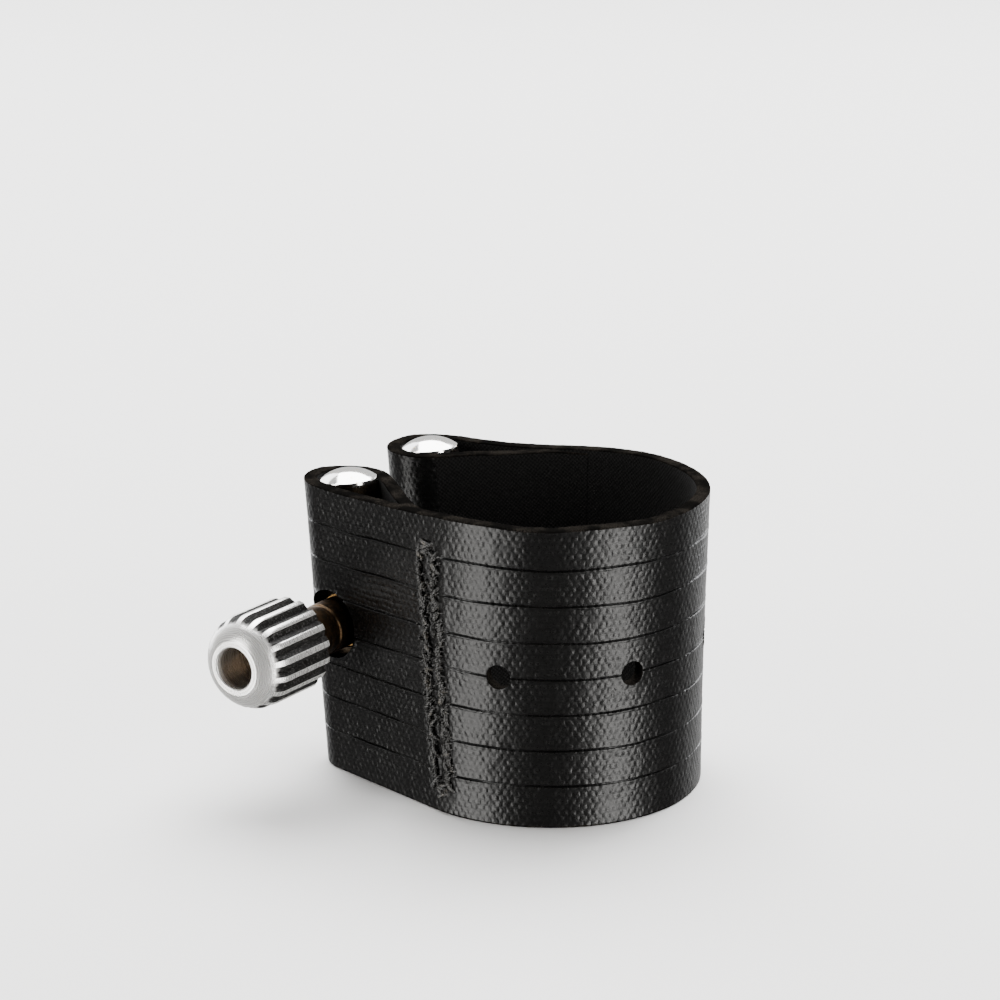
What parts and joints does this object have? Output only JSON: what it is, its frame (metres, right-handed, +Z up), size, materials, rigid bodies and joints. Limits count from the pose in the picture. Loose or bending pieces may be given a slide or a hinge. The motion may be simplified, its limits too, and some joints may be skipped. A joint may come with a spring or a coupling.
{
  "type": "saxophone ligature",
  "caption": "Fabric strap looped round two bars, drawn together by a fluted thumbscrew to hold a reed on an alto saxophone mouthpiece.",
  "frame": {"origin": "mouthpiece axis at the strap's bottom edge", "axes": "+Z up the mouthpiece towards its tip, -X towards the reed and the bars, -Y towards the knob"},
  "size_m": [0.0347, 0.0381, 0.0268],
  "materials": {
    "strap_fabric": "black satin coated weave",
    "seam_thread": "black waxed thread",
    "bar_nickel": "polished nickel plate",
    "screw_nickel": "turned nickel plate",
    "washer_brass": "dull brass"
  },
  "bodies": {
    "back": {"strap_back": "strap_fabric"},
    "knob_wing": {"strap_knob_side": "strap_fabric", "knob_seam_stitches": "seam_thread", "knob_seam_tacks": "seam_thread", "knob_seam_under_thread": "seam_thread"},
    "tip_wing": {"strap_tip_side": "strap_fabric", "tip_seam_stitches": "seam_thread", "tip_seam_tacks": "seam_thread", "tip_seam_under_thread": "seam_thread"},
    "knob_bar": {"plain_bar": "bar_nickel", "screw_washer": "washer_brass"},
    "tip_bar": {"threaded_bar": "bar_nickel"},
    "thumbscrew": {"screw_knob": "screw_nickel", "screw_rod": "screw_nickel"}
  },
  "joints": [
    {"name": "knob_side_flex", "type": "hinge", "parent": "back", "child": "knob_wing", "pos_m": [0.0125, -0.00358, 0.0132], "axis": [-0.0837, 0, 0.9965], "range_deg": [-3.59, 4.78]},
    {"name": "tip_side_flex", "type": "hinge", "parent": "back", "child": "tip_wing", "pos_m": [0.0125, 0.00358, 0.0132], "axis": [-0.0837, 0, 0.9965], "range_deg": [-4.78, 3.59]},
    {"name": "plain_bar_turn", "type": "hinge", "parent": "knob_wing", "child": "knob_bar", "pos_m": [-0.01616, -0.0063, 0.0132], "axis": [-0.0837, 0, 0.9965], "range_deg": [-4.78, 3.59]},
    {"name": "threaded_bar_turn", "type": "hinge", "parent": "tip_wing", "child": "tip_bar", "pos_m": [-0.01616, 0.0063, 0.0132], "axis": [-0.0837, 0, 0.9965], "range_deg": [-3.59, 4.78]},
    {"name": "screw_turn", "type": "hinge", "parent": "knob_bar", "child": "thumbscrew", "pos_m": [-0.01619, -0.0063, 0.0136], "axis": [0, 1, 0], "range_deg": [-2160, 1620]}
  ],
  "couplings": [
    {"joint": "knob_side_flex", "follows": "screw_turn", "ratio": -0.0022121},
    {"joint": "tip_side_flex", "follows": "screw_turn", "ratio": 0.0022121},
    {"joint": "plain_bar_turn", "follows": "screw_turn", "ratio": 0.0022121},
    {"joint": "threaded_bar_turn", "follows": "screw_turn", "ratio": -0.0022121}
  ]
}
